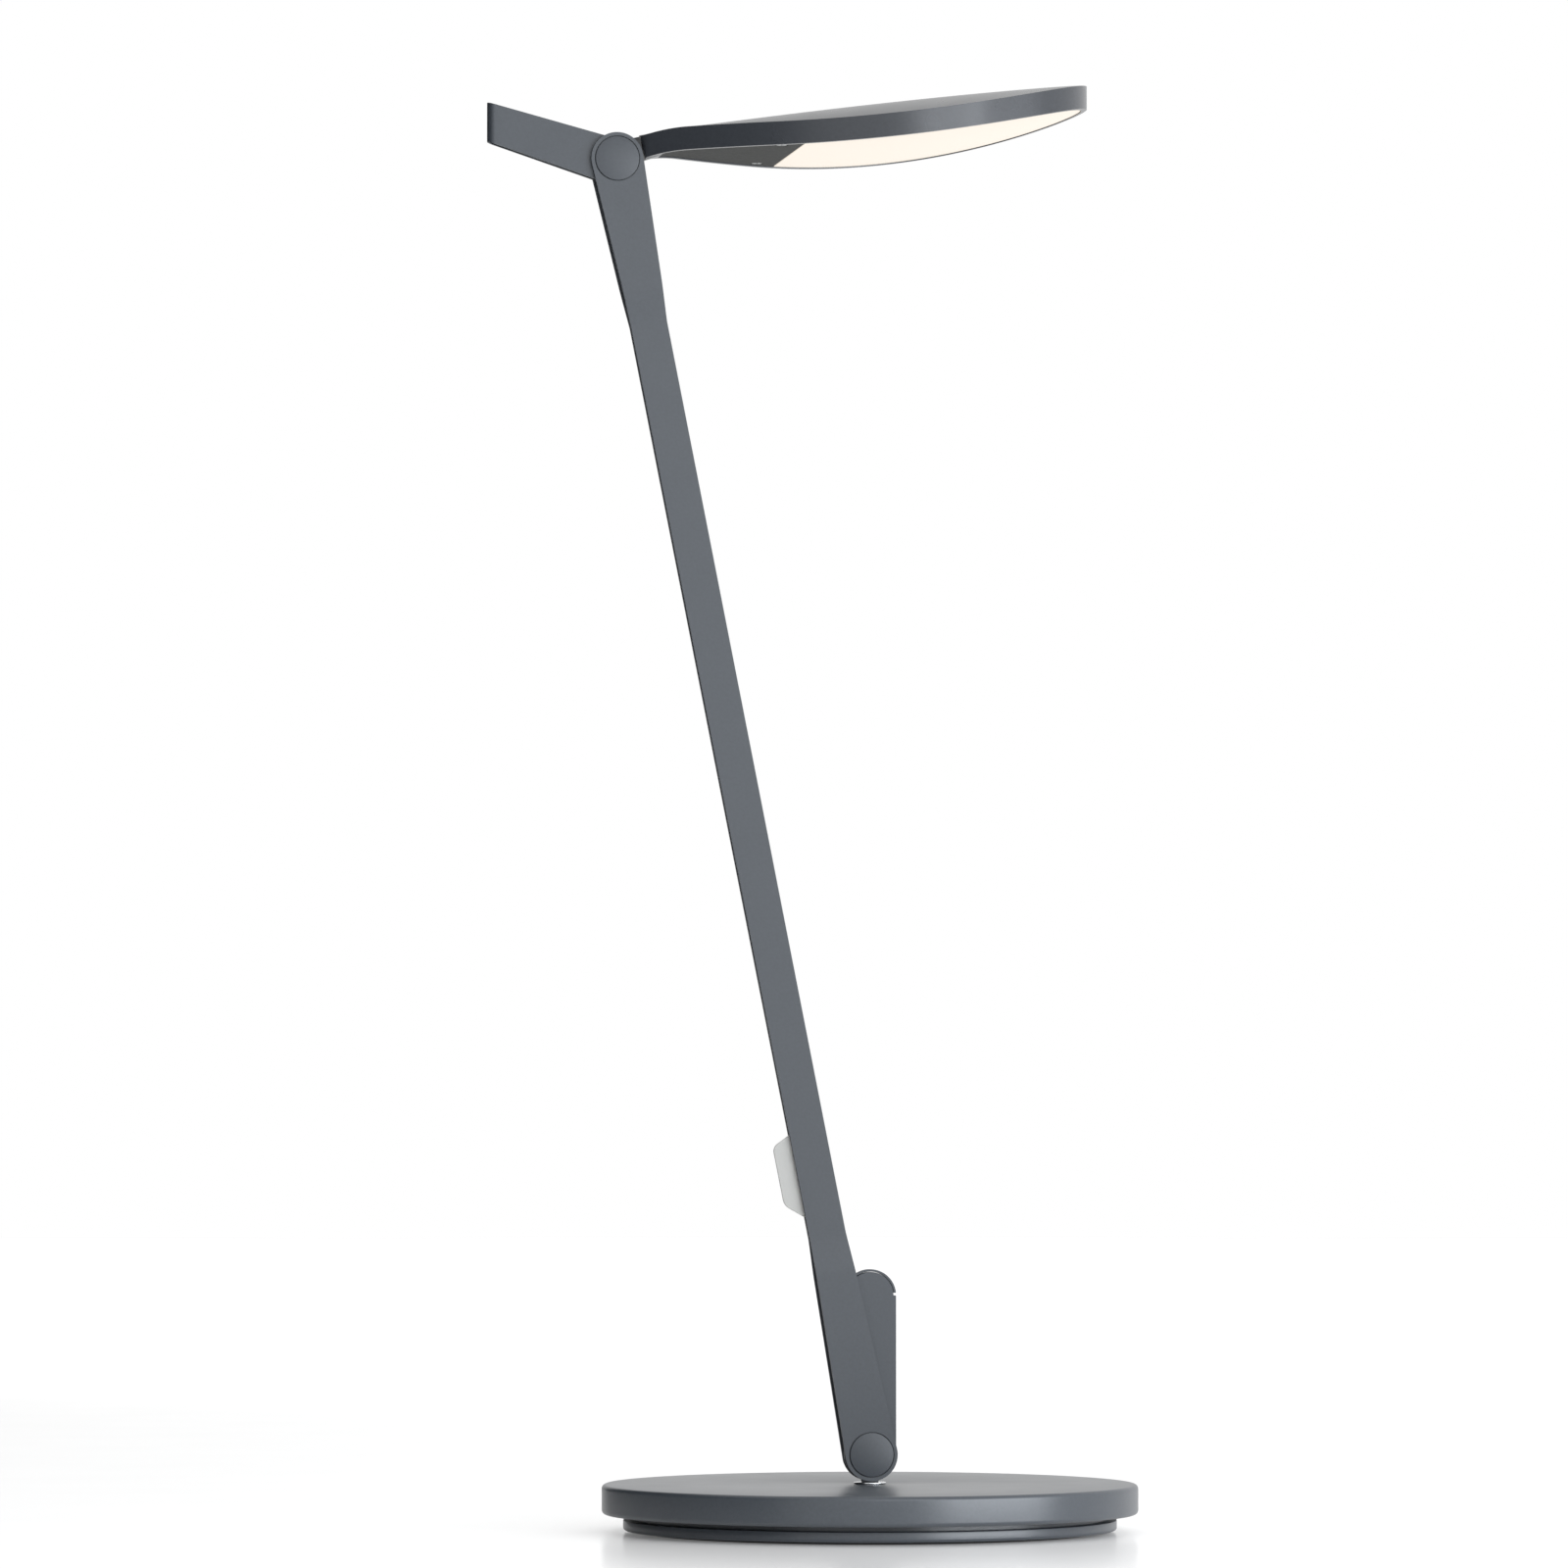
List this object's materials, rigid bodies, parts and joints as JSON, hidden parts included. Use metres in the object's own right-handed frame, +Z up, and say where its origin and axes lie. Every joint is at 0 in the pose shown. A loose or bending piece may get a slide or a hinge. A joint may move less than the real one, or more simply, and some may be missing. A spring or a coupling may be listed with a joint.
{
  "type": "desk lamp",
  "caption": "Desk lamp with a round weighted base, a swivelling post, a slender forked swing arm and a leaf-shaped LED head with a loop handle behind it.",
  "frame": {"origin": "centre of the foot pad's underside, on the desk", "axes": "+Z up; +X the way the head points; the arm and the head tilt about +Y; the row is stored in the pose of the picture"},
  "size_m": [0.2322, 0.19, 0.5149],
  "materials": {
    "base_paint": "satin graphite paint on steel",
    "arm_paint": "satin graphite paint on steel",
    "head_paint": "satin graphite paint on aluminium",
    "bright_chrome": "polished",
    "steel": "bright",
    "rubber": "matt",
    "black_plastic": "moulded",
    "nylon": "natural",
    "circuit_board": "solder mask",
    "spacer_plastic": "moulded",
    "clear_plastic": "frosted clear",
    "cover_plastic": "fine grain",
    "clear_acrylic": "clear",
    "opal_diffuser": "opal, lit from behind"
  },
  "bodies": {
    "base": {"base_disc": "base_paint", "base_plate": "base_paint", "base_screw_1": "steel", "base_screw_2": "steel", "base_screw_3": "steel", "foot_pad": "rubber", "dc_inlet": "black_plastic", "control_board": "circuit_board"},
    "swivel": {"swivel_stem": "bright_chrome", "swivel_washer": "nylon", "swivel_nut": "steel", "post": "arm_paint", "post_cap": "arm_paint", "lower_axle": "steel", "pivot_washer_far": "nylon", "pivot_washer_near": "nylon"},
    "arm": {"arm_blade_far": "arm_paint", "arm_blade_near": "arm_paint", "lower_cap_far": "arm_paint", "lower_cap_near": "arm_paint", "upper_cap_far": "arm_paint", "upper_cap_near": "arm_paint", "arm_spacer": "spacer_plastic", "flat_lead": "black_plastic", "clear_tab": "clear_plastic"},
    "tilt": {"upper_axle": "steel", "loop_handle": "arm_paint", "neck_hub": "black_plastic", "keeper_washer": "steel", "keeper_screw": "steel"},
    "head": {"head_shell": "head_paint", "head_cover": "cover_plastic", "diffuser": "opal_diffuser", "cover_screw_1": "steel", "cover_screw_2": "steel", "light_guide": "clear_acrylic", "reflector": "nylon", "led_board": "circuit_board", "touch_board": "circuit_board"}
  },
  "joints": [
    {"name": "base_swivel", "type": "hinge", "parent": "base", "child": "swivel", "pos_m": [0, 0, 0.0171], "axis": [0, 0, 1], "range_deg": [-170, 170]},
    {"name": "arm_tilt", "type": "hinge", "parent": "swivel", "child": "arm", "pos_m": [0, 0, 0.0275], "axis": [0, 1, 0], "range_deg": [-45, 55]},
    {"name": "head_tilt", "type": "hinge", "parent": "arm", "child": "tilt", "pos_m": [-0.09118, 0, 0.48633], "axis": [0, 1, 0], "range_deg": [-70, 15]},
    {"name": "head_roll", "type": "hinge", "parent": "tilt", "child": "head", "pos_m": [-0.09118, 0, 0.48919], "axis": [0.9781, 0, 0.2079], "range_deg": [-40, 40]}
  ]
}
